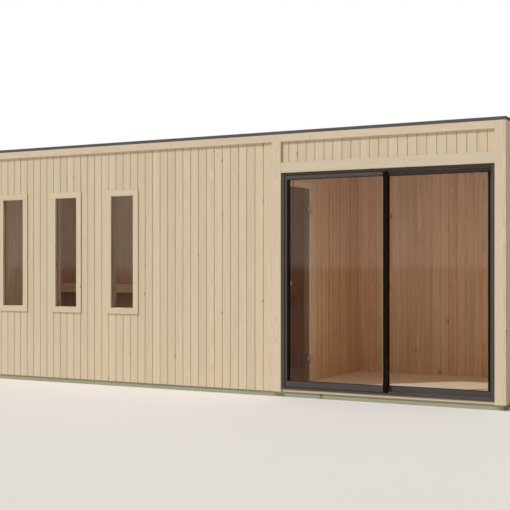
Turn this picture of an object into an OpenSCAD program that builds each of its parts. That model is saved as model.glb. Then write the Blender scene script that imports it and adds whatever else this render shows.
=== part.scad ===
// Garden sauna house: a flat-roofed timber cabin with a sauna room on the
// left and a lounge with a two-leaf sliding glass door on the right.
// All sizes are in millimetres. +X runs along the front to the right,
// the front faces -Y and +Z is up. The origin is under the middle of the
// house, on the ground.
//
// Positions along the front are written as u, measured from the outer face
// of the right-hand corner towards the left. Depths are written as d,
// measured from the face of the front trim towards the back.

/* [House] */
// Overall length along the front
house_l = 6000; // [5900:10:7000]
// Overall depth, front trim face to back trim face
house_d = 1950; // [1900:10:3000]
// Overall height, ground to top of roof edge
house_h = 2460; // [2460:10:2600]

/* [Walls] */
// Thickness of the wall panel with its inner lining
wall_t = 63; // [50:1:100]
// Thickness of the outside boards
clad_t = 19; // [16:1:24]
// How far corner boards and fascias stand proud of the boards
trim_t = 20; // [16:1:24]
// Face width of corner boards, centre trim and head board
trim_w = 97; // [80:1:100]
// Height of the treated base timbers
base_h = 48; // [40:1:60]
// Height of the fascia board under the roof edge
fascia_h = 69; // [60:1:90]
// Height of the dark roof edge
edge_h = 29; // [20:1:40]

/* [Sliding door] */
// Height of the sliding door frame
door_h = 2000; // [1900:10:2000]
// Width of the sliding door frame
door_w = 2010; // [1900:10:2010]
// Face width of the frame's side members
jamb_w = 30; // [26:1:40]
// Thickness of each sliding leaf
leaf_t = 34; // [30:1:36]
// Free gap between the leaves and around them
leaf_gap = 6; // [5:1:8]

/* [Windows] */
// Clear width of each window
win_w = 271; // [200:1:300]
// Clear height of each window
win_h = 1126; // [600:1:1200]
// Height of the clear opening above the ground
win_z = 792; // [700:1:800]
// Distance between neighbouring windows, eight boards
win_pitch = 712; // [660:1:712]
// Face width of the window casing
casing_w = 60; // [40:1:70]

/* [Sauna] */
// Thickness of the partition wall
part_t = 70; // [50:1:90]
// Width of the glass sauna door
sdoor_w = 512; // [480:8:600]
// Height of the top of the glass sauna door above the ground
sdoor_top = 1963; // [1900:1:1970]
// Depth of the upper bench, front to back
bench_d = 560; // [500:10:600]
// Height of the top of the upper bench above the ground
bench_z = 1010; // [950:10:1050]

/* [Hidden] */
L = house_l;
D = house_d;
H = house_h;

// derived depths from the front trim face
clad_d = trim_t;                    // face of the boards
wall_d = trim_t + clad_t;           // outer face of the wall panels
in_d = wall_d + wall_t;             // inner face of the walls (102)
wall_top = H - edge_h - 100;        // underside of the roof panel
roof_z = H - edge_h;                // top of fascia, underside of edge
floor_z = base_h + 37;              // walking surface
door_z = base_h + 25;               // underside of the door frame
door_u0 = trim_w;                   // right edge of the door frame
door_u1 = trim_w + door_w;          // left edge of the door frame
part_u0 = door_u1;                  // lounge face of the partition
part_u1 = part_u0 + part_t;         // sauna face of the partition
frame_d = 13;                       // face of the door frame
leaf1_d = frame_d + 7;              // outer leaf face
leaf2_d = leaf1_d + leaf_t + 7;     // inner leaf face
leaf_z0 = door_z + 23;              // underside of the leaves
leaf_z1 = door_z + door_h - 26;     // top of the leaves
glass_t = 20;                       // sealed glazing unit
win_u = [for (i = [0 : 2]) 3775 + i*win_pitch]; // right edges of the clear openings
stile_w = 38;                       // face width of a leaf's side members
meet_u = 1068;                      // right end of the outer leaf
sdoor_d0 = 110;                     // closing edge of the glass sauna door
sdoor_z0 = floor_z + 12;

timber = [0.83, 0.76, 0.65];
timber2 = [0.80, 0.72, 0.60];
inner_timber = [0.78, 0.66, 0.50];
treated = [0.70, 0.71, 0.58];
dark = [0.24, 0.23, 0.22];
black = [0.10, 0.10, 0.10];
felt = [0.30, 0.28, 0.27];
clear_glass = [0.75, 0.82, 0.82, 0.35];

// a box given by u (from the right), d (from the front) and z
module b(u0, u1, d0, d1, z0, z1)
    translate([L/2 - u1, d0 - D/2, z0]) cube([u1 - u0, d1 - d0, z1 - z0]);

// ---------- base ----------
module base_rim_front() color(treated) b(33, L - 33, 33, 128, 0, base_h);
module base_rim_back() color(treated) b(33, L - 33, D - 128, D - 33, 0, base_h);
module base_rim_left() color(treated) b(L - 128, L - 33, 128, D - 128, 0, base_h);
module base_rim_right() color(treated) b(33, 128, 128, D - 128, 0, base_h);
module base_bearers() color(treated)
    for (i = [1 : 9]) b(L/10*i - 35, L/10*i + 35, 128, D - 128, 0, base_h);

// ---------- floors ----------
module floor_lounge() color(inner_timber) b(in_d, part_u0, in_d, D - in_d, base_h, floor_z);
module floor_sauna() color(inner_timber) b(part_u1, L - in_d, in_d, D - in_d, base_h, floor_z);

// ---------- walls ----------
module window_holes(grow, d0, d1)
    for (u = win_u) b(u - grow, u + win_w + grow, d0, d1, win_z - grow, win_z + win_h + grow);

module front_wall_left() color(inner_timber) difference() {
    b(door_u1, L - wall_d, wall_d, in_d, base_h, wall_top);
    window_holes(20, wall_d - 1, in_d + 1);
}
module front_wall_right() color(inner_timber)
    b(wall_d, door_u0, wall_d, in_d, base_h, wall_top);
module front_wall_over_door() color(inner_timber)
    b(door_u0, door_u1, wall_d, in_d, door_z + door_h, wall_top);
module back_wall() color(inner_timber)
    b(wall_d, L - wall_d, D - in_d, D - wall_d, base_h, wall_top);
module left_wall() color(inner_timber)
    b(L - in_d, L - wall_d, in_d, D - in_d, base_h, wall_top);
module right_wall() color(inner_timber)
    b(wall_d, in_d, in_d, D - in_d, base_h, wall_top);

// ---------- outside boards ----------
module front_boards_left() color(timber) difference() {
    b(door_u1, L - clad_d, clad_d, wall_d, base_h, roof_z);
    window_holes(20, clad_d - 1, wall_d + 1);
}
module front_boards_over_door() color(timber)
    b(clad_d, door_u1, clad_d, wall_d, door_z + door_h, roof_z);
module front_boards_right() color(timber)
    b(clad_d, door_u0, clad_d, wall_d, base_h, door_z + door_h);
module back_boards() color(timber)
    b(clad_d, L - clad_d, D - wall_d, D - clad_d, base_h, roof_z);
module left_boards() color(timber)
    b(L - wall_d, L - clad_d, wall_d, D - wall_d, base_h, roof_z);
module right_boards() color(timber)
    b(clad_d, wall_d, wall_d, D - wall_d, base_h, roof_z);

// ---------- partition with the sauna door ----------
sdoor_d1 = sdoor_d0 + sdoor_w;          // hinge edge of the glass
post_d0 = sdoor_d1 + 10;                // hinge post, front and back faces
post_d1 = sdoor_d1 + 115;
pin_u = part_u0 - 8;                    // hinge pin line, just proud of the partition
pin_d = sdoor_d1 + 5;
hinge_z = [sdoor_z0 + 170, sdoor_top - 240];
module partition_back() color(inner_timber)
    b(part_u0, part_u1, post_d1, D - in_d, base_h, wall_top);
module partition_header() color(inner_timber)
    b(part_u0, part_u1, in_d, post_d1, sdoor_top + 61, wall_top);
// hinge post, head and low threshold round the glass
module sauna_door_frame() color(inner_timber) union() {
    b(part_u0, part_u1, post_d0, post_d1, base_h, sdoor_top + 61);
    b(part_u0, part_u1, in_d, post_d0 + 1, sdoor_top + 6, sdoor_top + 61);
    b(part_u0 + 20, part_u1, in_d, post_d0 + 1, base_h, sdoor_z0 - 6);
}
module sauna_door_leaf() color(clear_glass)
    b(part_u0 + 6, part_u0 + 14, sdoor_d0, sdoor_d1, sdoor_z0, sdoor_top);
module pin_cyl(z0, z1, r)
    translate([L/2 - pin_u, pin_d - D/2, z0]) cylinder(r = r, h = z1 - z0, $fn = 48);
// hinge halves on the post
module sauna_hinge_posts() color(dark)
    for (z = hinge_z) union() {
        b(part_u0 - 3, part_u0, post_d0, post_d0 + 38, z, z + 70);
        b(pin_u, part_u0, pin_d + 3, post_d0 + 3, z, z + 22);
        pin_cyl(z, z + 22, 7);
    }
// hinge halves clamped to the glass
module sauna_hinge_clamps() color(dark)
    for (z = hinge_z) union() {
        pin_cyl(z + 22.6, z + 70, 7);
        b(pin_u, part_u0 + 6, pin_d - 12, pin_d, z + 22.6, z + 70);
        b(part_u0, part_u0 + 6, sdoor_d1 - 44, pin_d, z + 22.6, z + 70);
        b(part_u0 + 14, part_u0 + 19, sdoor_d1 - 44, sdoor_d1 - 2, z + 22.6, z + 70);
        b(part_u0, part_u0 + 19, sdoor_d1, pin_d, z + 22.6, z + 70);
    }
// a round knob on each face of the glass
module sauna_door_handle() color(timber2)
    translate([L/2 - part_u0, sdoor_d0 + 60 - D/2, 1050]) {
        translate([-6, 0, 0]) rotate([0, 90, 0]) cylinder(d = 44, h = 34, $fn = 48);
        translate([-14 - 34, 0, 0]) rotate([0, 90, 0]) cylinder(d = 44, h = 34, $fn = 48);
    }

// ---------- roof ----------
module roof_panel() color(inner_timber)
    b(wall_d, L - wall_d, wall_d, D - wall_d, wall_top, roof_z);
module roof_edge() color(dark) difference() {
    b(-0, L, 0, D, roof_z, H);
    b(60, L - 60, 60, D - 60, roof_z - 1, H + 1);
}
module roof_felt() color(felt) b(60, L - 60, 60, D - 60, roof_z, H - 14);
module fascia_boards() color(timber) {
    z0 = roof_z - fascia_h;
    b(trim_w, L - trim_w, 0, clad_d, z0, roof_z);
    b(trim_w, L - trim_w, D - clad_d, D, z0, roof_z);
    b(0, clad_d, trim_w, D - trim_w, z0, roof_z);
    b(L - clad_d, L, trim_w, D - trim_w, z0, roof_z);
}

// ---------- corner boards and trims ----------
// right: 1 at the right-hand end, 0 at the left; back: 1 at the back
module corner(right, back) color(timber) {
    u0 = right ? 0 : L - trim_w;
    s0 = right ? 0 : L - clad_d;
    d0 = back ? D - clad_d : 0;
    e0 = back ? D - trim_w : clad_d;
    union() {
        b(u0, u0 + trim_w, d0, d0 + clad_d, base_h, roof_z);
        b(s0, s0 + clad_d, e0, e0 + trim_w - clad_d, base_h, roof_z);
    }
}
module corner_front_right() corner(1, 0);
module corner_front_left() corner(0, 0);
module corner_back_right() corner(1, 1);
module corner_back_left() corner(0, 1);
module centre_trim() color(timber)
    b(door_u1, door_u1 + trim_w, 0, clad_d, base_h, roof_z - fascia_h);
module door_head_board() color(timber)
    b(door_u0, door_u1, 0, clad_d, door_z + door_h, door_z + door_h + trim_w);
module door_sill_board() color(timber2)
    b(door_u0, door_u1, clad_d, in_d, base_h, door_z);

// ---------- windows ----------
module window_casings() color(timber)
    for (u = win_u) difference() {
        b(u - casing_w, u + win_w + casing_w, clad_d - 12, clad_d, win_z - casing_w, win_z + win_h + casing_w);
        b(u, u + win_w, -1, clad_d + 1, win_z, win_z + win_h);
    }
module window_liners() color(timber2)
    for (u = win_u) difference() {
        b(u - 20, u + win_w + 20, clad_d, in_d, win_z - 20, win_z + win_h + 20);
        b(u, u + win_w, clad_d - 1, in_d + 1, win_z, win_z + win_h);
        b(u - 8, u + win_w + 8, 34, 34 + glass_t, win_z - 8, win_z + win_h + 8);
    }
module window_glass() color(clear_glass)
    for (u = win_u) b(u - 8, u + win_w + 8, 34, 34 + glass_t, win_z - 8, win_z + win_h + 8);

// ---------- sliding door ----------
module slide_head() color(dark)
    b(door_u0, door_u1, frame_d, in_d, door_z + door_h - 20, door_z + door_h);
module slide_sill() color(dark) difference() {
    b(door_u0, door_u1, frame_d, in_d, door_z, door_z + 17);
    b(door_u0 + jamb_w, door_u1 - jamb_w, leaf1_d + 8, leaf1_d + leaf_t - 8, door_z + 9, door_z + 18);
    b(door_u0 + jamb_w, door_u1 - jamb_w, leaf2_d + 8, leaf2_d + leaf_t - 8, door_z + 9, door_z + 18);
}
module slide_jambs() color(dark) {
    b(door_u0, door_u0 + jamb_w, frame_d, in_d, door_z + 17, door_z + door_h - 20);
    b(door_u1 - jamb_w, door_u1, frame_d, in_d, door_z + 17, door_z + door_h - 20);
}
// a ring of two stiles and two rails, grooved for the glazing unit
module leaf_frame(u0, u1, d0, left_w, right_w) difference() {
    b(u0, u1, d0, d0 + leaf_t, leaf_z0, leaf_z1);
    b(u0 + right_w, u1 - left_w, d0 - 1, d0 + leaf_t + 1, leaf_z0 + 54, leaf_z1 - 36);
    leaf_pane(u0, u1, d0, left_w, right_w);
}
module leaf_pane(u0, u1, d0, left_w, right_w)
    b(u0 + right_w - 8, u1 - left_w + 8, d0 + 8, d0 + 8 + glass_t, leaf_z0 + 46, leaf_z1 - 28);

leaf1_u1 = door_u1 - jamb_w - leaf_gap;
leaf1_u0 = meet_u + 36;
leaf2_u0 = door_u0 + jamb_w + leaf_gap;
leaf2_u1 = meet_u + 36;
module left_leaf_frame() color(dark) difference() {
    b(leaf1_u0, leaf1_u1, leaf1_d, leaf1_d + leaf_t, leaf_z0, leaf_z1);
    b(leaf1_u0 - 1, leaf1_u1 - stile_w, leaf1_d - 1, leaf1_d + leaf_t + 1, leaf_z0 + 54, leaf_z1 - 36);
    b(leaf1_u0 - 1, leaf1_u1 - stile_w + 8, leaf1_d + 8, leaf1_d + 8 + glass_t, leaf_z0 + 46, leaf_z1 - 28);
}
module left_leaf_glass() color(clear_glass)
    b(leaf1_u0, leaf1_u1 - stile_w + 8, leaf1_d + 8, leaf1_d + 8 + glass_t, leaf_z0 + 46, leaf_z1 - 28);
module left_leaf_interlock() color(black)
    b(meet_u, leaf1_u0, leaf1_d, leaf1_d + leaf_t, leaf_z0, leaf_z1);
module right_leaf_frame() color(dark)
    leaf_frame(leaf2_u0, leaf2_u1, leaf2_d, 36, stile_w);
module right_leaf_glass() color(clear_glass)
    leaf_pane(leaf2_u0, leaf2_u1, leaf2_d, 36, stile_w);

// ---------- sauna bench along the back wall ----------
bench_u0 = part_u1;
bench_u1 = L - in_d;
bench_d0 = D - in_d - bench_d;
module bench_front() color(inner_timber)
    b(bench_u0, bench_u1, bench_d0, bench_d0 + 28, bench_z - 103, bench_z);
module bench_top() color(inner_timber)
    b(bench_u0, bench_u1, bench_d0 + 28, D - in_d, bench_z - 28, bench_z);
module bench_supports() color(inner_timber)
    for (i = [0 : 3]) union() {
        b(bench_u0 + 80 + i*1172, bench_u0 + 125 + i*1172, bench_d0 + 28, bench_d0 + 73, floor_z, bench_z - 28);
        b(bench_u0 + 80 + i*1172, bench_u0 + 125 + i*1172, bench_d0 + 28, D - in_d, bench_z - 98, bench_z - 28);
    }

base_rim_front();
base_rim_back();
base_rim_left();
base_rim_right();
base_bearers();
floor_lounge();
floor_sauna();
front_wall_left();
front_wall_right();
front_wall_over_door();
back_wall();
left_wall();
right_wall();
front_boards_left();
front_boards_over_door();
front_boards_right();
back_boards();
left_boards();
right_boards();
partition_back();
partition_header();
sauna_door_frame();
sauna_door_leaf();
sauna_door_handle();
sauna_hinge_posts();
sauna_hinge_clamps();
roof_panel();
roof_edge();
roof_felt();
fascia_boards();
corner_front_right();
corner_front_left();
corner_back_right();
corner_back_left();
centre_trim();
door_head_board();
door_sill_board();
window_casings();
window_liners();
window_glass();
slide_head();
slide_sill();
slide_jambs();
left_leaf_frame();
left_leaf_glass();
left_leaf_interlock();
right_leaf_frame();
right_leaf_glass();
bench_front();
bench_top();
bench_supports();
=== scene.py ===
import math
import random
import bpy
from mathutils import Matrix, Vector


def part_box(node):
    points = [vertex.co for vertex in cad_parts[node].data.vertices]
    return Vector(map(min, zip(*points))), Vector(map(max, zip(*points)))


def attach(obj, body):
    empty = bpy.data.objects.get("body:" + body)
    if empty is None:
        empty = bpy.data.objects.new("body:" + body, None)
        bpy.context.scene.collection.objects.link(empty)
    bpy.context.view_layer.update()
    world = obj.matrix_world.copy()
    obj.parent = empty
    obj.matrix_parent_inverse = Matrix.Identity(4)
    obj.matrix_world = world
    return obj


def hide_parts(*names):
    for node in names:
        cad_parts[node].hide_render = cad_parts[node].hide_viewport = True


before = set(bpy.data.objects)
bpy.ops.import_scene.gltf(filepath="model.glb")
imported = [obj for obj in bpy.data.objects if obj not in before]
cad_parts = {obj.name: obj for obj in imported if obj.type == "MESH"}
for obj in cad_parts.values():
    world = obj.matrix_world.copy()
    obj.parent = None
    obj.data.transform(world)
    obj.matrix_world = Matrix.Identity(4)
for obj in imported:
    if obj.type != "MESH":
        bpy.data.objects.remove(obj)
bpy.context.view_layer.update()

import zlib

import bpy

# ---------------------------------------------------------------------------
# The same constants as part.scad, in millimetres. u runs along the front from
# the right-hand corner to the left, d from the face of the front trim to the
# back, z up.
# ---------------------------------------------------------------------------
L, D, H = 6000.0, 1950.0, 2460.0
WALL_T, CLAD_T, TRIM_T, TRIM_W = 63.0, 19.0, 20.0, 97.0
BASE_H, FASCIA_H, EDGE_H = 48.0, 69.0, 29.0
DOOR_H, DOOR_W, JAMB_W, LEAF_T, LEAF_GAP = 2000.0, 2010.0, 30.0, 34.0, 6.0
WIN_W, WIN_H, WIN_Z, CASING_W = 271.0, 1126.0, 792.0, 60.0
WIN_U = [3775.0, 4487.0, 5199.0]
PART_T, SDOOR_W, SDOOR_TOP = 70.0, 512.0, 1963.0
BENCH_D, BENCH_Z = 560.0, 1010.0
CLAD_D = TRIM_T
WALL_D = TRIM_T + CLAD_T
IN_D = WALL_D + WALL_T
WALL_TOP = H - EDGE_H - 100
ROOF_Z = H - EDGE_H
FLOOR_Z = BASE_H + 37
DOOR_Z = BASE_H + 25
DOOR_U0 = TRIM_W
DOOR_U1 = TRIM_W + DOOR_W
PART_U0 = DOOR_U1
PART_U1 = PART_U0 + PART_T
FRAME_D = 13.0
LEAF1_D = FRAME_D + 7
LEAF2_D = LEAF1_D + LEAF_T + 7
LEAF_Z0 = DOOR_Z + 23
LEAF_Z1 = DOOR_Z + DOOR_H - 26
STILE_W = 38.0
MEET_U = 1068.0
LEAF1_U1 = DOOR_U1 - JAMB_W - LEAF_GAP
LEAF1_U0 = MEET_U + 36
LEAF2_U0 = DOOR_U0 + JAMB_W + LEAF_GAP
LEAF2_U1 = MEET_U + 36
SDOOR_D0 = 110.0
SDOOR_D1 = SDOOR_D0 + SDOOR_W
SDOOR_Z0 = FLOOR_Z + 12
POST_D0 = SDOOR_D1 + 10
POST_D1 = SDOOR_D1 + 115
PITCH = 89.0            # cover width of the boards


def P(u, d, z):
    return (L / 2000 - u / 1000, (d - D / 2) / 1000, z / 1000)


# ---------------------------------------------------------------------------
# Node helpers
# ---------------------------------------------------------------------------
class Graph:
    def __init__(self, name):
        self.mat = bpy.data.materials.new(name)
        self.mat.use_nodes = True
        self.t = self.mat.node_tree
        self.t.nodes.clear()
        self.out = self.t.nodes.new("ShaderNodeOutputMaterial")

    def n(self, kind, **props):
        node = self.t.nodes.new(kind)
        for k, v in props.items():
            setattr(node, k, v)
        return node

    def put(self, socket, value):
        if hasattr(value, "is_output"):
            self.t.links.new(value, socket)
        else:
            socket.default_value = value

    def math(self, op, a, b=None, c=None, clamp=False):
        node = self.n("ShaderNodeMath", operation=op, use_clamp=clamp)
        for i, v in enumerate((a, b, c)):
            if v is not None:
                self.put(node.inputs[i], v)
        return node.outputs[0]

    def xyz(self, x=0.0, y=0.0, z=0.0):
        node = self.n("ShaderNodeCombineXYZ")
        for i, v in enumerate((x, y, z)):
            self.put(node.inputs[i], v)
        return node.outputs[0]

    def split(self, v):
        node = self.n("ShaderNodeSeparateXYZ")
        self.put(node.inputs[0], v)
        return node.outputs

    def scale(self, v, s):
        node = self.n("ShaderNodeVectorMath", operation="MULTIPLY")
        self.put(node.inputs[0], v)
        node.inputs[1].default_value = s
        return node.outputs[0]

    def noise(self, v, detail=2.0, rough=0.5, distort=0.0, dims="3D", scale=1.0):
        node = self.n("ShaderNodeTexNoise", noise_dimensions=dims)
        if dims == "1D":
            self.put(node.inputs["W"], v)
        else:
            self.put(node.inputs["Vector"], v)
        node.inputs["Scale"].default_value = scale
        node.inputs["Detail"].default_value = detail
        node.inputs["Roughness"].default_value = rough
        node.inputs["Distortion"].default_value = distort
        return node.outputs[0]

    def remap(self, v, a, b, c, d, smooth=False):
        node = self.n("ShaderNodeMapRange")
        if smooth:
            node.interpolation_type = "SMOOTHSTEP"
        self.put(node.inputs[0], v)
        for i, x in zip((1, 2, 3, 4), (a, b, c, d)):
            self.put(node.inputs[i], x)
        return node.outputs[0]

    def mix(self, f, a, b, blend="MIX"):
        node = self.n("ShaderNodeMix", data_type="RGBA", blend_type=blend)
        self.put(node.inputs[0], f)
        for i, v in ((6, a), (7, b)):
            self.put(node.inputs[i], v)
        return node.outputs[2]

    def attr(self, name):
        return self.n("ShaderNodeAttribute", attribute_name=name).outputs

    def bump(self, h, strength, distance):
        node = self.n("ShaderNodeBump")
        node.inputs["Strength"].default_value = strength
        node.inputs["Distance"].default_value = distance
        self.put(node.inputs["Height"], h)
        return node.outputs[0]

    def surface(self, color, rough, normal=None, metallic=0.0, specular=0.5):
        b = self.n("ShaderNodeBsdfPrincipled")
        self.put(b.inputs["Base Color"], color)
        self.put(b.inputs["Roughness"], rough)
        b.inputs["Metallic"].default_value = metallic
        b.inputs["Specular IOR Level"].default_value = specular
        if normal is not None:
            self.put(b.inputs["Normal"], normal)
        self.t.links.new(b.outputs[0], self.out.inputs[0])
        return self.mat


def rgb(r, g, b):
    return (r, g, b, 1.0)


# ---------------------------------------------------------------------------
# Materials
# ---------------------------------------------------------------------------
def wood(name, light, dark, pink, green, spread=0.08, ring=0.55, knots=0.5,
         knot_colour=(0.20, 0.09, 0.04), rough=(0.5, 0.72), specular=0.3, knot_size=0.07, streaks=0.38, face=0.0):
    """Sawn or planed spruce. "wood" holds each board's own position, across,
    through and along, in metres, and "tone" four random numbers per board."""
    g = Graph(name)
    w = g.attr("wood")[1]
    a, t, l = g.split(w)[:3]
    sep = g.n("ShaderNodeSeparateColor")
    g.put(sep.inputs[0], g.attr("tone")[0])
    t0, t1, t2 = sep.outputs[:3]

    # knots: one possible place per cell, most cells hold none
    cell = g.n("ShaderNodeTexVoronoi", voronoi_dimensions="2D", feature="F1")
    g.put(cell.inputs["Vector"], g.xyz(g.math("MULTIPLY", a, 8.0), g.math("MULTIPLY", l, 5.5)))
    cell.inputs["Scale"].default_value = 1.0
    cs = g.n("ShaderNodeSeparateColor")
    g.put(cs.inputs[0], cell.outputs["Color"])
    size = g.math("MULTIPLY_ADD", g.math("MULTIPLY", cs.outputs[2], cs.outputs[2]), knot_size, 0.045)
    size = g.math("MULTIPLY", size, g.math("GREATER_THAN", cs.outputs[0], 1.0 - knots))
    near = g.math("ADD", cell.outputs["Distance"], g.math("MULTIPLY", g.math("SUBTRACT", g.noise(g.scale(w, (160.0, 160.0, 90.0)), 1.0), 0.5), 0.02))
    mask = g.remap(g.math("SUBTRACT", size, near), 0.0, 0.014, 0.0, 1.0, True)
    halo = g.remap(g.math("SUBTRACT", g.math("MULTIPLY", size, 2.6), near), 0.0, 0.11, 0.0, 1.0, True)

    # growth rings about a heart that wanders along the board
    slow = g.noise(g.scale(w, (2.0, 2.0, 1.1)), 1.0)
    slow2 = g.noise(g.scale(w, (3.0, 3.0, 2.3)), 1.0)
    h = g.math("ADD", g.math("MULTIPLY_ADD", t1, 0.16, -0.035), g.math("MULTIPLY", slow, 0.05))
    v = g.math("SUBTRACT", g.math("MULTIPLY", slow2, -0.05), g.math("MULTIPLY", t2, 0.07))
    dx = g.math("SUBTRACT", a, h)
    dy = g.math("SUBTRACT", t, v)
    r = g.math("SQRT", g.math("ADD", g.math("MULTIPLY", dx, dx), g.math("MULTIPLY", dy, dy)))
    r = g.math("ADD", r, g.math("MULTIPLY", halo, 0.012))
    rings = g.remap(g.noise(g.math("MULTIPLY_ADD", r, 230.0, g.math("MULTIPLY", t0, 90.0)), 1.5, 0.5, dims="1D"), 0.35, 0.72, 0.0, 1.0)

    fine = g.noise(g.scale(w, (420.0, 420.0, 9.0)), 3.0, 0.6)
    streak = g.remap(g.noise(g.scale(w, (38.0, 38.0, 1.2)), 2.5, 0.55), 0.3, 0.7, 0.0, 1.0)
    f = g.math("ADD", g.math("MULTIPLY", rings, ring), g.math("MULTIPLY_ADD", fine, 0.35, -0.12))
    f = g.math("ADD", f, g.math("MULTIPLY", streak, streaks), clamp=True)
    colour = g.mix(f, rgb(*light), rgb(*dark))
    colour = g.mix(t1, g.mix(1.0, colour, rgb(*pink), "MULTIPLY"), g.mix(1.0, colour, rgb(*green), "MULTIPLY"))
    level = g.remap(t0, 0.0, 1.0, 1.0 - spread, 1.0 + spread)
    colour = g.mix(1.0, colour, g.xyz(level, level, level), "MULTIPLY")
    colour = g.mix(g.math("MULTIPLY", halo, 0.22), colour, rgb(dark[0] * 0.8, dark[1] * 0.66, dark[2] * 0.5))
    deep = g.mix(g.remap(near, 0.0, 0.05, 0.0, 1.0), rgb(*[c * 0.6 for c in knot_colour]), rgb(*[c * 1.5 for c in knot_colour]))
    colour = g.mix(g.math("MULTIPLY", mask, g.remap(cs.outputs[1], 0.0, 1.0, 0.6, 0.96)), colour, deep)

    if face:        # painted shade: the V edges are darkened and warmed, standing in for the shade that falls in the grooves between boards
        edge = g.remap(t, face - 0.0035, face - 0.0004, 1.0, 0.0, True)
        edge = g.math("MULTIPLY", edge, g.math("LESS_THAN", t, face + 0.0005))
        colour = g.mix(edge, colour, g.mix(1.0, colour, rgb(0.86, 0.76, 0.62), "MULTIPLY"))

    height = g.math("ADD", g.math("MULTIPLY", rings, 0.5), g.math("MULTIPLY", fine, 0.6))
    height = g.math("SUBTRACT", height, g.math("MULTIPLY", mask, 0.3))
    g.surface(colour, g.remap(fine, 0.3, 0.7, rough[0], rough[1]), g.bump(height, 0.25, 0.0006), specular=specular)
    return g.mat


def metal_coat(name, base, speck=0.12, rough=0.42, specular=0.5, metallic=0.0):
    """Powder-coated or anodised profile: fine orange-peel, faint streaks."""
    g = Graph(name)
    o = g.n("ShaderNodeTexCoord").outputs["Object"]
    fine = g.noise(g.scale(o, (900.0, 900.0, 900.0)), 2.0)
    broad = g.noise(g.scale(o, (5.0, 5.0, 2.0)), 3.0, 0.6)
    f = g.math("MULTIPLY_ADD", fine, 0.5, g.math("MULTIPLY", broad, 0.5))
    colour = g.mix(g.remap(f, 0.3, 0.7, 0.0, 1.0), rgb(*[c * (1 - speck) for c in base]), rgb(*[c * (1 + speck) for c in base]))
    return g.surface(colour, g.remap(broad, 0.3, 0.7, rough - 0.06, rough + 0.08), g.bump(fine, 0.12, 0.0002), metallic=metallic, specular=specular)


def felt_mat():
    g = Graph("roof_felt")
    o = g.n("ShaderNodeTexCoord").outputs["Object"]
    grit = g.noise(g.scale(o, (700.0, 700.0, 700.0)), 2.0, 0.7)
    speck = g.n("ShaderNodeTexVoronoi", feature="F1")
    g.put(speck.inputs["Vector"], o)
    speck.inputs["Scale"].default_value = 420.0
    blotch = g.noise(g.scale(o, (2.2, 2.2, 2.2)), 4.0, 0.6)
    colour = g.mix(g.remap(grit, 0.35, 0.65, 0.0, 1.0), rgb(0.045, 0.043, 0.042), rgb(0.115, 0.110, 0.105))
    colour = g.mix(g.remap(blotch, 0.35, 0.75, 0.0, 0.45), colour, rgb(0.13, 0.125, 0.12))
    h = g.math("ADD", grit, g.math("MULTIPLY", speck.outputs["Distance"], 0.8))
    return g.surface(colour, g.remap(grit, 0.3, 0.7, 0.8, 0.96), g.bump(h, 0.7, 0.0012), specular=0.25)


def glass_mat(name, tint, extra=0.0):
    """Thin clear pane: see-through with a Schlick reflection on each face."""
    g = Graph(name)
    lw = g.n("ShaderNodeLayerWeight")
    lw.inputs[0].default_value = 0.5
    f = g.math("POWER", lw.outputs["Facing"], 5.0)
    f = g.math("MULTIPLY_ADD", f, 0.70, 0.022 + extra)
    o = g.n("ShaderNodeTexCoord").outputs["Object"]
    film = g.noise(g.scale(o, (1.6, 1.6, 1.1)), 3.0, 0.6)
    clear = g.n("ShaderNodeBsdfTransparent")
    g.put(clear.inputs[0], g.mix(g.remap(film, 0.3, 0.7, 0.0, 1.0), rgb(*tint), rgb(*[c * 0.985 for c in tint])))
    shine = g.n("ShaderNodeBsdfAnisotropic")
    shine.inputs["Color"].default_value = rgb(1.0, 1.0, 1.0)
    shine.inputs["Roughness"].default_value = 0.0
    wave = g.noise(g.scale(o, (1.3, 1.3, 0.9)), 1.0)
    g.put(shine.inputs["Normal"], g.bump(wave, 0.02, 0.001))
    m = g.n("ShaderNodeMixShader")
    g.put(m.inputs[0], f)
    g.put(m.inputs[1], clear.outputs[0])
    g.put(m.inputs[2], shine.outputs[0])
    g.t.links.new(m.outputs[0], g.out.inputs[0])
    return g.mat


M_OUT = wood("outside_spruce", (0.745, 0.640, 0.485), (0.660, 0.530, 0.365), (1.02, 0.988, 0.955), (0.995, 1.004, 0.99), spread=0.035, knots=0.11, face=0.019)
M_TRIM = wood("trim_spruce", (0.755, 0.650, 0.495), (0.670, 0.540, 0.375), (1.02, 0.99, 0.96), (0.99, 1.008, 1.0), spread=0.022, knots=0.13)
M_IN = wood("inside_spruce", (0.735, 0.520, 0.345), (0.580, 0.370, 0.215), (1.05, 0.97, 0.92), (0.97, 1.0, 1.0), spread=0.075, ring=0.75, knots=0.20, streaks=0.62, face=0.013)
M_FLOOR = wood("floor_spruce", (0.930, 0.820, 0.650), (0.850, 0.720, 0.540), (1.03, 0.98, 0.95), (0.98, 1.0, 1.0), spread=0.05, knots=0.12, rough=(0.35, 0.5), specular=0.45)
M_TREAT = wood("treated_timber", (0.440, 0.425, 0.315), (0.335, 0.325, 0.225), (1.02, 1.0, 0.98), (0.96, 1.02, 0.96), spread=0.07, knots=0.04, knot_colour=(0.16, 0.12, 0.06), rough=(0.7, 0.88), specular=0.2)
M_LINER = wood("liner_spruce", (0.730, 0.590, 0.415), (0.620, 0.470, 0.300), (1.02, 0.99, 0.96), (0.99, 1.0, 1.0), spread=0.03, knots=0.06)
M_KNOB = wood("knob_wood", (0.500, 0.300, 0.150), (0.320, 0.165, 0.070), (1.03, 0.98, 0.95), (0.99, 1.0, 1.0), spread=0.03, knots=0.0, rough=(0.3, 0.42), specular=0.5)
M_ALU = metal_coat("dark_aluminium", (0.084, 0.072, 0.064), rough=0.46)
M_BLACK = metal_coat("black_profile", (0.0125, 0.0060, 0.0035), rough=0.5, specular=0.12)
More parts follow.
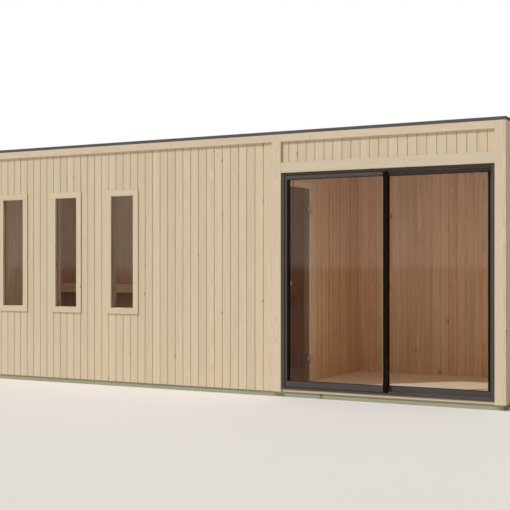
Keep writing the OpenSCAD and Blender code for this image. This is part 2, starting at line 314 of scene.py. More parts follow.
M_EDGE = metal_coat("roof_edge_metal", (0.105, 0.093, 0.082), speck=0.16, rough=0.55, specular=0.35)
M_STEEL = metal_coat("hinge_steel", (0.66, 0.58, 0.49), speck=0.06, rough=0.42, metallic=0.6)
M_SPACER = metal_coat("glazing_spacer", (0.42, 0.33, 0.24), rough=0.6)
M_FELT = felt_mat()
M_GLASS = glass_mat("clear_glass", (0.992, 0.996, 0.992))
M_SGLASS = glass_mat("sauna_glass", (0.81, 0.77, 0.78), 0.015)


# ---------------------------------------------------------------------------
# Mesh pieces
# ---------------------------------------------------------------------------
class Piece:
    def __init__(self, name, mats, nodes, slot, body="house"):
        self.name, self.nodes, self.slot, self.body = name, nodes, slot, body
        self.mats = mats if isinstance(mats, (list, tuple)) else [mats]
        self.v, self.f, self.wood, self.tone, self.mi, self.sm = [], [], [], [], [], []
        self.rng = random.Random(zlib.crc32(name.encode()))

    def new_tone(self):
        r = self.rng
        return (r.random(), r.random(), r.random(), 1.0), r.random() * 60.0

    def solid(self, pts, faces, local, tone=None, mi=0, smooth=False):
        """One closed solid. pts are (u, d, z) in mm, local are (across, through, along) in mm."""
        q = [P(*p) for p in pts]
        vol = 0.0
        o = q[0]
        for f in faces:
            a = [q[f[0]][k] - o[k] for k in range(3)]
            for i in range(1, len(f) - 1):
                b = [q[f[i]][k] - o[k] for k in range(3)]
                c = [q[f[i + 1]][k] - o[k] for k in range(3)]
                vol += (a[0] * (b[1] * c[2] - b[2] * c[1]) - a[1] * (b[0] * c[2] - b[2] * c[0]) + a[2] * (b[0] * c[1] - b[1] * c[0]))
        if vol < 0:
            faces = [tuple(reversed(f)) for f in faces]
        t, off = tone or self.new_tone()
        base = len(self.v)
        self.v += q
        self.wood += [(x / 1000, y / 1000, z / 1000 + off) for x, y, z in local]
        self.tone += [t] * len(q)
        self.f += [tuple(i + base for i in f) for f in faces]
        self.mi += [mi] * len(faces)
        self.sm += [smooth] * len(faces)

    def bar(self, u0, u1, d0, d1, z0, z1, along="z", c=1.5, tone=None, mi=0):
        """A bar with eased edges, its grain along u, d or z."""
        lo, hi = (u0, d0, z0), (u1, d1, z1)
        k = "udz".index(along)
        others = sorted((i for i in range(3) if i != k), key=lambda i: -(hi[i] - lo[i]))
        ia, it = others
        w, th, ln = hi[ia] - lo[ia], hi[it] - lo[it], hi[k] - lo[k]
        c = min(c, w * 0.3, th * 0.3, ln * 0.3)
        octo = [(c, 0), (w - c, 0), (w, c), (w, th - c), (w - c, th), (c, th), (0, th - c), (0, c)]

        def ring(inset, pos):
            return [(min(max(x, inset), w - inset), min(max(y, inset), th - inset), pos) for x, y in octo]
        local = ring(c * 0.7, 0) + ring(0, c * 0.7) + ring(0, ln - c * 0.7) + ring(c * 0.7, ln)
        pts = []
        for x, y, s in local:
            p = [0, 0, 0]
            p[ia], p[it], p[k] = lo[ia] + x, lo[it] + y, lo[k] + s
            pts.append(p)
        faces = [tuple(range(7, -1, -1)), tuple(range(24, 32))]
        for lev in range(3):
            for i in range(8):
                j = (i + 1) % 8
                faces.append((lev * 8 + i, lev * 8 + j, lev * 8 + 8 + j, lev * 8 + 8 + i))
        self.solid(pts, faces, local, tone, mi)

    def extrude(self, profile, to, l0, l1, tone=None, mi=0, smooth=False):
        """A closed profile of (a, t) points pulled along l. to(a, t, l) gives (u, d, z)."""
        n = len(profile)
        local = [(a, t, l) for l in (l0, l1) for a, t in profile]
        faces = [tuple(range(n - 1, -1, -1)), tuple(range(n, 2 * n))]
        faces += [(i, (i + 1) % n, n + (i + 1) % n, n + i) for i in range(n)]
        self.solid([to(*p) for p in local], faces, local, tone, mi, smooth)

    def notched(self, keep, cut, to, levels, tone):
        """A board whose cut part is missing between the two middle levels.
        keep and cut are profiles that share one edge; in each it is the last."""
        n, m = len(keep), len(cut)
        local = []
        for l in levels:
            local += [(a, t, l) for a, t in keep] + [(a, t, l) for a, t in cut]
        # the shared edge uses keep's own points
        shared = {0: None}
        idx = {}
        for lev in range(4):
            b = lev * (n + m)
            for i in range(n):
                idx["k", lev, i] = b + i
            for i in range(m):
                idx["c", lev, i] = b + n + i
        for lev in range(4):
            idx["c", lev, 0] = idx["k", lev, n - 1]
            idx["c", lev, m - 1] = idx["k", lev, 0]
        faces = []
        for lev in range(3):
            for i in range(n - 1):
                faces.append((idx["k", lev, i], idx["k", lev, i + 1], idx["k", lev + 1, i + 1], idx["k", lev + 1, i]))
            if lev == 1:
                faces.append((idx["k", lev, n - 1], idx["k", lev, 0], idx["k", lev + 1, 0], idx["k", lev + 1, n - 1]))
            else:
                for i in range(m - 1):
                    faces.append((idx["c", lev, i], idx["c", lev, i + 1], idx["c", lev + 1, i + 1], idx["c", lev + 1, i]))
        for lev, up in ((0, False), (1, True), (2, False), (3, True)):
            c = [idx["c", lev, i] for i in range(m)]
            faces.append(tuple(c) if up else tuple(reversed(c)))
            if lev in (0, 3):
                k = [idx["k", lev, i] for i in range(n)]
                faces.append(tuple(k) if up else tuple(reversed(k)))
        used = sorted({i for f in faces for i in f})
        new = {o: i for i, o in enumerate(used)}
        self.solid([to(*local[i]) for i in used], [tuple(new[i] for i in f) for f in faces], [local[i] for i in used], tone)

    def finish(self):
        me = bpy.data.meshes.new(self.name)
        me.from_pydata(self.v, [], self.f)
        for m in self.mats:
            me.materials.append(m)
        me.polygons.foreach_set("material_index", self.mi)
        me.polygons.foreach_set("use_smooth", self.sm)
        w = me.attributes.new("wood", "FLOAT_VECTOR", "POINT")
        w.data.foreach_set("vector", [x for p in self.wood for x in p])
        t = me.attributes.new("tone", "FLOAT_COLOR", "POINT")
        t.data.foreach_set("color", [x for p in self.tone for x in p])
        me.update()
        me.validate()
        if any(self.sm):
            me.set_sharp_from_angle(angle=math.radians(35))
        o = bpy.data.objects.new(self.name, me)
        bpy.context.scene.collection.objects.link(o)
        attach(o, self.body)
        if self.nodes:
            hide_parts(*self.nodes)
        return o


def vprofile(a0, a1, th, c, left=True, right=True):
    """Cross-section of a board with a V edge on its face, counter-clockwise."""
    p = [(a0, 0.0), (a1, 0.0)]
    p += [(a1, th - c), (a1 - 0.85 * c, th - 0.14 * c), (a1 - 1.25 * c, th)] if right else [(a1, th)]
    p += [(a0 + 1.25 * c, th), (a0 + 0.85 * c, th - 0.14 * c), (a0, th - c)] if left else [(a0, th)]
    return p


def boards(piece, to, a0, a1, l0, l1, th, seam, c=5.0, holes=(), pitch=PITCH, mi=0):
    """Boards side by side from a0 to a1, with seams at seam + n * pitch.
    holes are (a0, a1, l0, l1)."""
    k = math.floor((a0 - seam) / pitch)
    while True:
        b0, b1 = seam + k * pitch, seam + (k + 1) * pitch
        k += 1
        if b1 <= a0 + 0.5:
            continue
        if b0 >= a1 - 0.5:
            break
        s0, s1 = max(b0, a0), min(b1, a1)
        w = s1 - s0
        cc = min(c, w / 4)
        tone = piece.new_tone()
        shift = s0

        def place(a, t, l, shift=shift):
            return to(a + shift, t, l)
        whole = vprofile(0.0, w, th, cc)
        hit = [h for h in holes if h[0] < s1 - 0.01 and h[1] > s0 + 0.01]
        if not hit:
            piece.extrude(whole, place, l0, l1, tone, mi)
            continue
        h0, h1, z0, z1 = hit[0]
        if h0 <= s0 and h1 >= s1:
            piece.extrude(whole, place, l0, z0, tone, mi)
            piece.extrude(whole, place, z1, l1, tone, mi)
        elif h0 > s0:                       # the hole takes the far side
            s = h0 - s0
            far = [(s, 0.0), (w, 0.0)] + whole[2:5] + [(s, th)]
            near = [(s, th)] + whole[5:8] + [(0.0, 0.0), (s, 0.0)]
            piece.notched(near, far, place, (l0, z0, z1, l1), tone)
        else:                               # the hole takes the near side
            s = h1 - s0
            near = [(s, th)] + whole[5:8] + [(0.0, 0.0), (s, 0.0)]
            far = [(s, 0.0), (w, 0.0)] + whole[2:5] + [(s, th)]
            piece.notched(far, near, place, (l0, z0, z1, l1), tone)


made = []


def done(piece):
    made.append(piece.finish())


WIN_HOLES = [(u - 20, u + WIN_W + 20, WIN_Z - 20, WIN_Z + WIN_H + 20) for u in WIN_U]

# ----- outside boards -----
front_face = lambda a, t, l: (a, WALL_D - t, l)
back_face = lambda a, t, l: (a, D - WALL_D + t, l)
left_face = lambda a, t, l: (L - WALL_D + t, a, l)
right_face = lambda a, t, l: (WALL_D - t, a, l)

p = Piece("cladding_front_left", M_OUT, ["front_boards_left"], "outside_timber")
boards(p, front_face, DOOR_U1, L - CLAD_D, BASE_H, ROOF_Z, CLAD_T, 2210, holes=WIN_HOLES)
done(p)
p = Piece("cladding_over_door", M_OUT, ["front_boards_over_door"], "outside_timber")
boards(p, front_face, CLAD_D, DOOR_U1, DOOR_Z + DOOR_H, ROOF_Z, CLAD_T, 163)
done(p)
p = Piece("cladding_front_right", M_OUT, ["front_boards_right"], "outside_timber")
boards(p, front_face, CLAD_D, DOOR_U0, BASE_H, DOOR_Z + DOOR_H, CLAD_T, 163)
done(p)
p = Piece("cladding_back", M_OUT, ["back_boards"], "outside_timber")
boards(p, back_face, CLAD_D, L - CLAD_D, BASE_H, ROOF_Z, CLAD_T, 74)
done(p)
p = Piece("cladding_left", M_OUT, ["left_boards"], "outside_timber")
boards(p, left_face, WALL_D, D - WALL_D, BASE_H, ROOF_Z, CLAD_T, 120)
done(p)
p = Piece("cladding_right", M_OUT, ["right_boards"], "outside_timber")
boards(p, right_face, WALL_D, D - WALL_D, BASE_H, ROOF_Z, CLAD_T, 120)
done(p)

# ----- walls: a core with tongued lining boards on the room side -----
LIN = 13.0


def core(p, u0, u1, d0, d1, z0, z1, along="z"):
    p.bar(u0, u1, d0, d1, z0, z1, along, 0.6)


front_in = lambda a, t, l: (a, IN_D - LIN + t, l)
back_in = lambda a, t, l: (a, D - IN_D + LIN - t, l)
left_in = lambda a, t, l: (L - IN_D + LIN - t, a, l)
right_in = lambda a, t, l: (IN_D - LIN + t, a, l)

p = Piece("wall_front_left", M_IN, ["front_wall_left"], "inside_timber")
edges = [DOOR_U1] + [x for h in WIN_HOLES for x in h[:2]] + [L - WALL_D]
for i in range(0, len(edges), 2):
    core(p, edges[i], edges[i + 1], WALL_D, IN_D - LIN, WIN_HOLES[0][2], WIN_HOLES[0][3])
core(p, DOOR_U1, L - WALL_D, WALL_D, IN_D - LIN, BASE_H, WIN_HOLES[0][2], "u")
core(p, DOOR_U1, L - WALL_D, WALL_D, IN_D - LIN, WIN_HOLES[0][3], WALL_TOP, "u")
boards(p, front_in, PART_U1, L - IN_D, BASE_H, WALL_TOP, LIN, 2210, c=4.2, holes=WIN_HOLES)
core(p, DOOR_U1, PART_U1, IN_D - LIN, IN_D, BASE_H, WALL_TOP)
core(p, L - IN_D, L - WALL_D, IN_D - LIN, IN_D, BASE_H, WALL_TOP)
done(p)
p = Piece("wall_front_right", M_IN, ["front_wall_right"], "inside_timber")
core(p, WALL_D, DOOR_U0, WALL_D, IN_D, BASE_H, WALL_TOP)
done(p)
p = Piece("wall_over_door", M_IN, ["front_wall_over_door"], "inside_timber")
core(p, DOOR_U0, DOOR_U1, WALL_D, IN_D - LIN, DOOR_Z + DOOR_H, WALL_TOP, "u")
boards(p, front_in, DOOR_U0, DOOR_U1, DOOR_Z + DOOR_H, WALL_TOP, LIN, 163, c=4.2)
done(p)
p = Piece("wall_back", M_IN, ["back_wall"], "inside_timber")
core(p, WALL_D, L - WALL_D, D - IN_D + LIN, D - WALL_D, BASE_H, WALL_TOP, "u")
core(p, WALL_D, IN_D, D - IN_D, D - IN_D + LIN, BASE_H, WALL_TOP)
core(p, L - IN_D, L - WALL_D, D - IN_D, D - IN_D + LIN, BASE_H, WALL_TOP)
boards(p, back_in, IN_D, L - IN_D, BASE_H, WALL_TOP, LIN, 131, c=4.2)
done(p)
p = Piece("wall_left", M_IN, ["left_wall"], "inside_timber")
core(p, L - IN_D + LIN, L - WALL_D, IN_D, D - IN_D, BASE_H, WALL_TOP, "d")
boards(p, left_in, IN_D, D - IN_D, BASE_H, WALL_TOP, LIN, 140, c=4.2)
done(p)
p = Piece("wall_right", M_IN, ["right_wall"], "inside_timber")
core(p, WALL_D, IN_D - LIN, IN_D, D - IN_D, BASE_H, WALL_TOP, "d")
boards(p, right_in, IN_D, D - IN_D, BASE_H, WALL_TOP, LIN, 140, c=4.2)
done(p)

# ----- partition -----
part_r = lambda a, t, l: (PART_U0 + LIN - t, a, l)
part_l = lambda a, t, l: (PART_U1 - LIN + t, a, l)
p = Piece("partition_wall", M_IN, ["partition_back"], "inside_timber")
core(p, PART_U0 + LIN, PART_U1 - LIN, POST_D1, D - IN_D, BASE_H, WALL_TOP, "d")
boards(p, part_r, POST_D1, D - IN_D, BASE_H, WALL_TOP, LIN, 760, c=4.2)
boards(p, part_l, POST_D1, D - IN_D, BASE_H, WALL_TOP, LIN, 760, c=4.2)
done(p)
p = Piece("partition_over_door", M_IN, ["partition_header"], "inside_timber")
core(p, PART_U0 + LIN, PART_U1 - LIN, IN_D, POST_D1, SDOOR_TOP + 61, WALL_TOP, "d")
boards(p, part_r, IN_D, POST_D1, SDOOR_TOP + 61, WALL_TOP, LIN, 760, c=4.2)
boards(p, part_l, IN_D, POST_D1, SDOOR_TOP + 61, WALL_TOP, LIN, 760, c=4.2)
done(p)
lo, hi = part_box("sauna_door_frame")
p = Piece("sauna_frame", M_LINER, ["sauna_door_frame"], "inside_timber")
p.bar(PART_U0, PART_U1, POST_D0, POST_D1, BASE_H, SDOOR_TOP + 61, "z", 3)
p.bar(PART_U0, PART_U1, IN_D, POST_D0, SDOOR_TOP + 6, SDOOR_TOP + 61, "d", 3)
p.bar(PART_U0 + 20, PART_U1, IN_D, POST_D0, BASE_H, SDOOR_Z0 - 6, "d", 2)
done(p)
p = Piece("sauna_glass_door", M_SGLASS, ["sauna_door_leaf"], "clear_glass", "sauna_door")
p.bar(PART_U0 + 6, PART_U0 + 14, SDOOR_D0, SDOOR_D1, SDOOR_Z0, SDOOR_TOP, "z", 0.8)
done(p)


def lathe(p, profile, centre, sign, n=48):
    """Profile (distance from the glass face, radius), turned about the u axis."""
    m = len(profile)
    local, pts = [], []
    for x, r in profile:
        for i in range(n):
            t = 2 * math.pi * i / n
            y, z = r * math.cos(t), r * math.sin(t)
            local.append((y, z, x))
            pts.append((centre[0] + sign * x, centre[1] + y, centre[2] + z))
    faces = [tuple(range(n - 1, -1, -1)), tuple(range((m - 1) * n, m * n))]
    for k in range(m - 1):
        for i in range(n):
            j = (i + 1) % n
            faces.append((k * n + i, k * n + j, k * n + n + j, k * n + n + i))
    p.solid(pts, faces, local, None, 0, True)


p = Piece("sauna_knobs", M_KNOB, ["sauna_door_handle"], "handle_wood", "sauna_door")
knob = [(0, 12.5), (1.2, 13.5), (3, 13.2), (9, 11.2), (14, 11.8), (18, 15.5), (21, 19.5), (24, 21.6), (27, 22), (30, 21.2), (32.3, 19), (33.5, 15), (34, 9)]
lathe(p, knob, (PART_U0 + 6, SDOOR_D0 + 60, 1050), -1)
lathe(p, knob, (PART_U0 + 14, SDOOR_D0 + 60, 1050), 1)
done(p)

# ----- base -----
for name, args, along in (
        ("base_rim_front", (33, L - 33, 33, 128), "u"),
        ("base_rim_back", (33, L - 33, D - 128, D - 33), "u"),
        ("base_rim_left", (L - 128, L - 33, 128, D - 128), "d"),
        ("base_rim_right", (33, 128, 128, D - 128), "d")):
    p = Piece("timber_" + name, M_TREAT, [name], "treated_timber")
    p.bar(*args, 0, BASE_H, along, 3)
    done(p)
p = Piece("timber_base_bearers", M_TREAT, ["base_bearers"], "treated_timber")
for i in range(1, 10):
    p.bar(L / 10 * i - 35, L / 10 * i + 35, 128, D - 128, 0, BASE_H, "d", 3)
done(p)

# ----- floors: boards along the house -----
for name, u0, u1 in (("lounge", IN_D, PART_U0), ("sauna", PART_U1, L - IN_D)):
    p = Piece("floor_boards_" + name, M_FLOOR, ["floor_" + name], "floor_timber")
    boards(p, lambda a, t, l: (l, a, BASE_H + 12 + t), IN_D, D - IN_D, u0, u1, FLOOR_Z - BASE_H - 12, 130, c=1.0, pitch=95)
    p.bar(u0, u1, IN_D, D - IN_D, BASE_H, BASE_H + 12, "u", 0.6)
    done(p)

# ----- roof -----
p = Piece("roof_and_ceiling", M_IN, ["roof_panel"], "inside_timber")
core(p, WALL_D, L - WALL_D, WALL_D, D - WALL_D, WALL_TOP + LIN, ROOF_Z, "u")
boards(p, lambda a, t, l: (l, a, WALL_TOP + LIN - t), WALL_D, D - WALL_D, WALL_D, L - WALL_D, LIN, 131, c=4.2)
done(p)
p = Piece("roof_edge_trim", M_EDGE, ["roof_edge"], "roof_edge")
# folded metal section: outer face with a small drip bead, sloping top, inner upstand
edge = [(0.0, 0.0), (4.0, -0.0), (5.0, 3.0), (56.0, 3.0), (60.0, 8.0), (60.0, 21.0), (57.0, 23.0), (9.0, 28.6), (3.0, 29.0), (0.6, 27.5), (0.0, 25.0), (0.0, 5.0)]


def joints(a, b, step=2000.0):
    n = max(1, round((b - a) / step))
    return [(a + (b - a) * i / n, a + (b - a) * (i + 1) / n) for i in range(n)]


for a, b in joints(0.0, L):
    p.extrude(edge, lambda x, y, l: (l, x, ROOF_Z + y), a + 0.4, b - 0.4)
    p.extrude(edge, lambda x, y, l: (l, D - x, ROOF_Z + y), a + 0.4, b - 0.4)
for a, b in joints(60.0, D - 60):
    p.extrude(edge, lambda x, y, l: (x, l, ROOF_Z + y), a + 0.4, b - 0.4)
    p.extrude(edge, lambda x, y, l: (L - x, l, ROOF_Z + y), a + 0.4, b - 0.4)
done(p)
p = Piece("roof_felt_sheets", M_FELT, ["roof_felt"], "roof_felt")
n = 6
wd = (L - 120) / n
for i in range(n):
    a = 60 + i * wd
    # each sheet laps 80 mm over the last one, its edge 3 mm proud
    prof = [(a, 0.0), (a + wd, 0.0), (a + wd, 11.0)]
    prof += [(a + 84, 11.0), (a + 80, 13.6), (a, 14.6)] if i else [(a, 11.0)]
    p.extrude(prof, lambda x, y, l: (x, l, ROOF_Z + y), 60, D - 60)
done(p)

# ----- trims -----
FZ = ROOF_Z - FASCIA_H
p = Piece("fascias", M_TRIM, ["fascia_boards"], "outside_timber")
for a, b in ((TRIM_W, 2155.5), (2155.5, 4100.0), (4100.0, L - TRIM_W)):
    p.bar(a + 0.2, b - 0.2, 0, CLAD_D, FZ, ROOF_Z, "u", 1.8)
    p.bar(a + 0.2, b - 0.2, D - CLAD_D, D, FZ, ROOF_Z, "u", 1.8)
p.bar(0, CLAD_D, TRIM_W, D - TRIM_W, FZ, ROOF_Z, "d", 1.8)
p.bar(L - CLAD_D, L, TRIM_W, D - TRIM_W, FZ, ROOF_Z, "d", 1.8)
done(p)
for right in (1, 0):
    for back in (0, 1):
        name = "corner_%s_%s" % ("back" if back else "front", "right" if right else "left")
        p = Piece("boards_" + name, M_TRIM, [name], "outside_timber")
        u0 = 0 if right else L - TRIM_W
        s0 = 0 if right else L - CLAD_D
        d0 = D - CLAD_D if back else 0
        e0 = D - TRIM_W if back else CLAD_D
        p.bar(u0, u0 + TRIM_W, d0, d0 + CLAD_D, BASE_H, ROOF_Z, "z", 1.8)
        p.bar(s0, s0 + CLAD_D, e0, e0 + TRIM_W - CLAD_D, BASE_H, ROOF_Z, "z", 1.8)
        done(p)
p = Piece("trim_centre", M_TRIM, ["centre_trim"], "outside_timber")
p.bar(DOOR_U1, DOOR_U1 + TRIM_W, 0, CLAD_D, BASE_H, FZ, "z", 1.8)
done(p)
p = Piece("trim_over_door", M_TRIM, ["door_head_board"], "outside_timber")
p.bar(DOOR_U0, DOOR_U1, 0, CLAD_D, DOOR_Z + DOOR_H, DOOR_Z + DOOR_H + TRIM_W, "u", 1.8)
done(p)
p = Piece("trim_door_sill", M_LINER, ["door_sill_board"], "outside_timber")
p.bar(DOOR_U0, DOOR_U1, CLAD_D, IN_D, BASE_H, DOOR_Z, "u", 2)
done(p)

# ----- windows -----
p = Piece("casings", M_TRIM, ["window_casings"], "outside_timber")
for u in WIN_U:
    z0, z1, w0, w1, d0 = WIN_Z, WIN_Z + WIN_H, u, u + WIN_W, CLAD_D - 12
    p.bar(w0 - CASING_W, w0, d0, CLAD_D, z0, z1, "z", 1.5)
    p.bar(w1, w1 + CASING_W, d0, CLAD_D, z0, z1, "z", 1.5)
    p.bar(w0 - CASING_W, w1 + CASING_W, d0, CLAD_D, z0 - CASING_W, z0, "u", 1.5)
    p.bar(w0 - CASING_W, w1 + CASING_W, d0, CLAD_D, z1, z1 + CASING_W, "u", 1.5)
done(p)
p = Piece("liners", M_LINER, ["window_liners"], "outside_timber")
GW = 34.0
for u in WIN_U:
    z0, z1, w0, w1 = WIN_Z, WIN_Z + WIN_H, u, u + WIN_W
    for d0, d1, g in ((CLAD_D, GW, 0), (GW, GW + 20, 8), (GW + 20, IN_D, 0)):
        # the middle strip is set back 8 mm to form the glazing groove
        p.bar(w0 - 20, w0 - g, d0, d1, z0 - 20, z1 + 20, "z", 0.8)
        p.bar(w1 + g, w1 + 20, d0, d1, z0 - 20, z1 + 20, "z", 0.8)
        p.bar(w0 - g, w1 + g, d0, d1, z0 - 20, z0 - g, "u", 0.8)
        p.bar(w0 - g, w1 + g, d0, d1, z1 + g, z1 + 20, "u", 0.8)
done(p)


def glazing(p, u0, u1, d0, z0, z1, c=0.5):
    """Sealed unit: two 4 mm panes with a spacer bar round the edge."""
    p.bar(u0, u1, d0, d0 + 4, z0, z1, "z", c)
    p.bar(u0, u1, d0 + 16, d0 + 20, z0, z1, "z", c)
    a, b = d0 + 4.2, d0 + 15.8
    p.bar(u0 + 1, u0 + 9, a, b, z0 + 1, z1 - 1, "z", 0.5, mi=1)
    p.bar(u1 - 9, u1 - 1, a, b, z0 + 1, z1 - 1, "z", 0.5, mi=1)
    p.bar(u0 + 9, u1 - 9, a, b, z0 + 1, z0 + 9, "u", 0.5, mi=1)
    p.bar(u0 + 9, u1 - 9, a, b, z1 - 9, z1 - 1, "u", 0.5, mi=1)


p = Piece("window_panes", [M_GLASS, M_SPACER], ["window_glass"], "clear_glass")
for u in WIN_U:
    glazing(p, u - 7.5, u + WIN_W + 7.5, GW, WIN_Z - 7.5, WIN_Z + WIN_H + 7.5)
done(p)

# ----- sliding door frame -----
p = Piece("door_frame_head", M_ALU, ["slide_head"], "dark_aluminium")
p.bar(DOOR_U0, DOOR_U1, FRAME_D, IN_D, DOOR_Z + DOOR_H - 20, DOOR_Z + DOOR_H, "u", 1.2)
done(p)
p = Piece("door_frame_sill", M_ALU, ["slide_sill"], "dark_aluminium")
p.bar(DOOR_U0, DOOR_U1, FRAME_D, IN_D, DOOR_Z, DOOR_Z + 9, "u", 0.8)
for d0, d1 in ((FRAME_D, LEAF1_D + 8), (LEAF1_D + LEAF_T - 8, LEAF2_D + 8), (LEAF2_D + LEAF_T - 8, IN_D)):
    p.bar(DOOR_U0, DOOR_U1, d0, d1, DOOR_Z + 9, DOOR_Z + 17, "u", 1.0)
for d0 in (LEAF1_D, LEAF2_D):
    p.bar(DOOR_U0, DOOR_U0 + JAMB_W, d0 + 8, d0 + LEAF_T - 8, DOOR_Z + 9, DOOR_Z + 17, "u", 0.6)
    p.bar(DOOR_U1 - JAMB_W, DOOR_U1, d0 + 8, d0 + LEAF_T - 8, DOOR_Z + 9, DOOR_Z + 17, "u", 0.6)
    # running rail in the middle of the groove
    m = d0 + LEAF_T / 2
    p.bar(DOOR_U0 + JAMB_W + 0.5, DOOR_U1 - JAMB_W - 0.5, m - 2, m + 2, DOOR_Z + 9, DOOR_Z + 15, "u", 0.8)
done(p)
p = Piece("door_frame_jambs", M_ALU, ["slide_jambs"], "dark_aluminium")
for u0 in (DOOR_U0, DOOR_U1 - JAMB_W):
    p.bar(u0, u0 + JAMB_W, FRAME_D, IN_D, DOOR_Z + 17, DOOR_Z + DOOR_H - 20, "z", 1.2)
done(p)

# ----- sliding leaves -----
BEAD = 20.0


def leaf(side, u0, u1, d0, z0, z1, nodes, body, right_w, left_w):
    """Outer member and, inside it, black glazing beads in front of and behind
    the unit. right_w or left_w 0 means that the interlock is there instead."""
    p = Piece(side + "_leaf_members", M_ALU, nodes, "dark_aluminium", body)
    q = Piece(side + "_leaf_beads", M_BLACK, [], "black_profile", body)
    zb, zt = z0 + 54, z1 - 36
    in0 = u0 + (right_w - BEAD if right_w else 0)
    in1 = u1 - (left_w - BEAD if left_w else 0)
    if right_w:
        p.bar(u0, in0, d0, d0 + LEAF_T, z0, z1, "z", 1.2)
    if left_w:
        p.bar(in1, u1, d0, d0 + LEAF_T, z0, z1, "z", 1.2)
    p.bar(in0, in1, d0, d0 + LEAF_T, z0, zb - 9, "u", 1.2)
    p.bar(in0, in1, d0, d0 + LEAF_T, zt + 9, z1, "u", 1.2)
    for a, b in ((d0, d0 + 7.6), (d0 + 28.4, d0 + LEAF_T)):
        p.bar(in0, in1, a, b, zb - 9, zb, "u", 0.8)
        p.bar(in0, in1, a, b, zt, zt + 9, "u", 0.8)
    for a, b in ((d0 + 1.5, d0 + 7.6), (d0 + 28.4, d0 + LEAF_T - 1.5)):
        if right_w:
            q.bar(in0, u0 + right_w, a, b, zb, zt, "z", 1.5)
        if left_w:
            q.bar(u1 - left_w, in1, a, b, zb, zt, "z", 1.5)
        # thin gaskets along the rails
        a2, b2 = (a + 1.5, b) if a < d0 + 10 else (a, b - 1.5)
        g0 = u0 + right_w if right_w else u0
        g1 = u1 - left_w if left_w else u1
        q.bar(g0, g1, a2, b2, zb, zb + 3.5, "u", 0.8)
        q.bar(g0, g1, a2, b2, zt - 3.5, zt, "u", 0.8)
    done(p)
    done(q)
    g = Piece(side + "_leaf_panes", [M_GLASS, M_SPACER], [side + "_leaf_glass"], "clear_glass", body)
    glazing(g, in0 + 0.5 if right_w else u0 + 0.5, in1 - 0.5 if left_w else u1 - 0.5, d0 + 8, zb - 8.5, zt + 8.5)
    done(g)


leaf("left", LEAF1_U0, LEAF1_U1, LEAF1_D, LEAF_Z0, LEAF_Z1, ["left_leaf_frame"], "left_leaf", 0, STILE_W)
leaf("right", LEAF2_U0, LEAF2_U1, LEAF2_D, LEAF_Z0, LEAF_Z1, ["right_leaf_frame"], "right_leaf", STILE_W, 36.0)
p = Piece("left_leaf_meeting_profile", M_BLACK, ["left_leaf_interlock"], "black_profile", "left_leaf")
# extruded meeting profile with a shallow finger pull down its outer face
w = LEAF1_U0 - MEET_U
prof = [(1.5, 0), (w - 1.5, 0), (w, 1.5), (w, LEAF_T - 1.5), (w - 1.5, LEAF_T), (25, LEAF_T), (22.5, LEAF_T - 3.5),
        (13.5, LEAF_T - 3.5), (11, LEAF_T), (1.5, LEAF_T), (0, LEAF_T - 1.5), (0, 1.5)]
p.extrude(prof, lambda a, t, l: (MEET_U + a, LEAF1_D + LEAF_T - t, l), LEAF_Z0, LEAF_Z1)
done(p)

# ----- bench -----
B0, B1 = PART_U1, L - IN_D
BD0 = D - IN_D - BENCH_D
p = Piece("bench_front_board", M_IN, ["bench_front"], "inside_timber")
p.bar(B0, B1, BD0, BD0 + 28, BENCH_Z - 103, BENCH_Z, "u", 4)
done(p)
p = Piece("bench_slats", M_IN, ["bench_top"], "inside_timber")
n, gap = 6, 12.0
space = BENCH_D - 28
sw = (space - gap * n) / n
for i in range(n):
    d0 = BD0 + 28 + gap + i * (sw + gap)
    p.bar(B0, B1, d0, d0 + sw, BENCH_Z - 28, BENCH_Z, "u", 4)
done(p)
p = Piece("bench_frames", M_IN, ["bench_supports"], "inside_timber")
for i in range(4):
    u0 = B0 + 80 + i * 1172
    p.bar(u0, u0 + 45, BD0 + 28, BD0 + 73, FLOOR_Z, BENCH_Z - 28, "z", 2.5)
    p.bar(u0, u0 + 45, BD0 + 73, D - IN_D, BENCH_Z - 98, BENCH_Z - 28, "d", 2.5)
done(p)

# ----- hinges keep their CAD shape -----
for node in ("sauna_hinge_posts", "sauna_hinge_clamps"):
    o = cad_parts[node]
    o.data.materials.clear()
    o.data.materials.append(M_STEEL)

# ---------------------------------------------------------------------------
# Floor, light and camera
# ---------------------------------------------------------------------------
g = Graph("pale_floor")
o = g.n("ShaderNodeTexCoord").outputs["Object"]
soft = g.noise(g.scale(o, (0.7, 0.7, 0.7)), 3.0)
g.surface(g.mix(soft, rgb(0.93, 0.87, 0.825), rgb(0.95, 0.89, 0.845)), 0.9, specular=0.1)
me = bpy.data.meshes.new("studio_floor")
s = 150.0
me.from_pydata([(-s, -s, 0), (s, -s, 0), (s, s, 0), (-s, s, 0)], [], [(0, 1, 2, 3)])
me.materials.append(g.mat)
floor = bpy.data.objects.new("studio_floor", me)
bpy.context.scene.collection.objects.link(floor)
floor.visible_glossy = False

world = bpy.data.worlds.new("studio")
bpy.context.scene.world = world
world.use_nodes = True
t = world.node_tree
t.nodes.clear()
out = t.nodes.new("ShaderNodeOutputWorld")
seen = t.nodes.new("ShaderNodeBackground")
seen.inputs[0].default_value = rgb(1.0, 1.0, 1.0)
lit = t.nodes.new("ShaderNodeBackground")
co = t.nodes.new("ShaderNodeTexCoord")
sp = t.nodes.new("ShaderNodeSeparateXYZ")
mr = t.nodes.new("ShaderNodeMapRange")
mr.inputs[1].default_value, mr.inputs[2].default_value = -0.01, 0.01
mr.inputs[3].default_value, mr.inputs[4].default_value = 0.06, 0.31
t.links.new(co.outputs["Generated"], sp.inputs[0])
t.links.new(sp.outputs[2], mr.inputs[0])
t.links.new(mr.outputs[0], lit.inputs[1])
lit.inputs[0].default_value = rgb(1.0, 0.90, 0.83)
path = t.nodes.new("ShaderNodeLightPath")
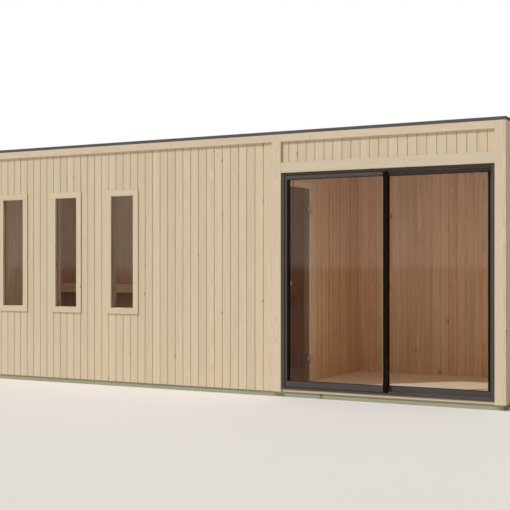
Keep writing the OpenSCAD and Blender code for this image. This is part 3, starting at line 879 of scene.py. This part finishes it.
# the studio's upper half is brighter in reflections, so that the glass shows it
gl = t.nodes.new("ShaderNodeMapRange")
gl.inputs[1].default_value, gl.inputs[2].default_value = -0.004, 0.004
gl.inputs[3].default_value, gl.inputs[4].default_value = 0.06, 0.42
t.links.new(sp.outputs[2], gl.inputs[0])
shine = t.nodes.new("ShaderNodeBackground")
shine.inputs[0].default_value = rgb(1.0, 0.96, 0.92)
t.links.new(gl.outputs[0], shine.inputs[1])
pick = t.nodes.new("ShaderNodeMixShader")
t.links.new(path.outputs["Is Glossy Ray"], pick.inputs[0])
t.links.new(lit.outputs[0], pick.inputs[1])
t.links.new(shine.outputs[0], pick.inputs[2])
mx = t.nodes.new("ShaderNodeMixShader")
t.links.new(path.outputs["Is Camera Ray"], mx.inputs[0])
t.links.new(pick.outputs[0], mx.inputs[1])
t.links.new(seen.outputs[0], mx.inputs[2])
t.links.new(mx.outputs[0], out.inputs[0])

from mathutils import Vector
sun_data = bpy.data.lights.new("sun", "SUN")
sun_data.energy = 2.5
sun_data.angle = math.radians(2.0)
sun_data.color = (0.87, 0.94, 0.98)
sun = bpy.data.objects.new("sun", sun_data)
sun.rotation_mode = "QUATERNION"
sun.rotation_quaternion = Vector((0.92, 1.0, -1.45)).to_track_quat("-Z", "Y")
bpy.context.scene.collection.objects.link(sun)



def fill(name, u, d, z, w, h, watts, colour=(1.0, 0.92, 0.84)):
    """A soft light just inside a glazed opening, facing into the room."""
    data = bpy.data.lights.new(name, "AREA")
    data.shape, data.size, data.size_y = "RECTANGLE", w / 1000, h / 1000
    data.energy, data.color = watts, colour
    o = bpy.data.objects.new(name, data)
    o.location = P(u, d, z)
    o.rotation_euler = (math.radians(90), 0.0, 0.0)
    o.visible_camera = False
    o.visible_glossy = False
    bpy.context.scene.collection.objects.link(o)


fill("fill_lounge", (DOOR_U0 + DOOR_U1) / 2, IN_D + 3, 1100, 1850, 1900, 6.2, (1.0, 0.93, 0.89))
for i, u in enumerate(WIN_U):
    fill("fill_sauna_%d" % i, u + WIN_W / 2, IN_D + 3, WIN_Z + WIN_H / 2, WIN_W, WIN_H, 2.4, (0.76, 0.88, 1.0))

cam_data = bpy.data.cameras.new("camera")
cam_data.sensor_width = 36.0
cam_data.lens = 1072.8 * 36.0 / 510.0
cam_data.shift_y = 12.5 / 510.0
cam_data.clip_end = 500.0
cam = bpy.data.objects.new("camera", cam_data)
cam.location = (5.440, -9.804, 1.198)
cam.rotation_euler = (math.radians(90), 0.0, math.radians(28.62))
bpy.context.scene.collection.objects.link(cam)
bpy.context.scene.camera = cam

sc = bpy.context.scene
sc.view_settings.view_transform = "Standard"
sc.view_settings.look = "None"
sc.cycles.max_bounces = 14
sc.cycles.diffuse_bounces = 6
sc.cycles.glossy_bounces = 6
sc.cycles.transparent_max_bounces = 32
sc.cycles.caustics_reflective = False
